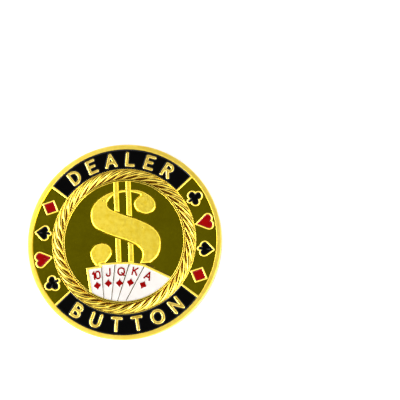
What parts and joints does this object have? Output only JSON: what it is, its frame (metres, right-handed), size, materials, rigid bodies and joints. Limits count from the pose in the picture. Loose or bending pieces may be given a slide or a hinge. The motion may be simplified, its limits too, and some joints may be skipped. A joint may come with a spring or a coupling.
{
  "type": "dealer button",
  "caption": "Round gold-plated metal dealer button with raised relief on both faces and inset enamel banners, suits and playing cards.",
  "frame": {"origin": "centre of the reverse rim, which is the plane the button rests on", "axes": "+Z out of the obverse, with the currency sign and cards; +Y towards the top of both faces' design; +X to the right of the obverse"},
  "size_m": [0.05, 0.05, 0.003],
  "materials": {
    "gold_plate": "bright gold plating, mirror-polished fields with satin raised work",
    "black_enamel": "glossy black soft enamel",
    "red_enamel": "glossy red soft enamel",
    "white_enamel": "glossy white soft enamel"
  },
  "bodies": {
    "root": {"struck_body": "gold_plate", "banner_top_enamel": "black_enamel", "banner_bottom_enamel": "black_enamel", "left_diamond_enamel": "red_enamel", "left_spade_enamel": "black_enamel", "left_heart_enamel": "red_enamel", "left_club_enamel": "black_enamel", "right_diamond_enamel": "red_enamel", "right_spade_enamel": "black_enamel", "right_heart_enamel": "red_enamel", "right_club_enamel": "black_enamel", "card_ten_enamel": "white_enamel", "card_ten_index": "red_enamel", "card_ten_pip": "red_enamel", "card_jack_enamel": "white_enamel", "card_jack_index": "red_enamel", "card_jack_pip": "red_enamel", "card_queen_enamel": "white_enamel", "card_queen_index": "red_enamel", "card_queen_pip": "red_enamel", "card_king_enamel": "white_enamel", "card_king_index": "red_enamel", "card_king_pip": "red_enamel", "card_ace_enamel": "white_enamel", "card_ace_index": "red_enamel", "card_ace_pip": "red_enamel"}
  },
  "joints": []
}
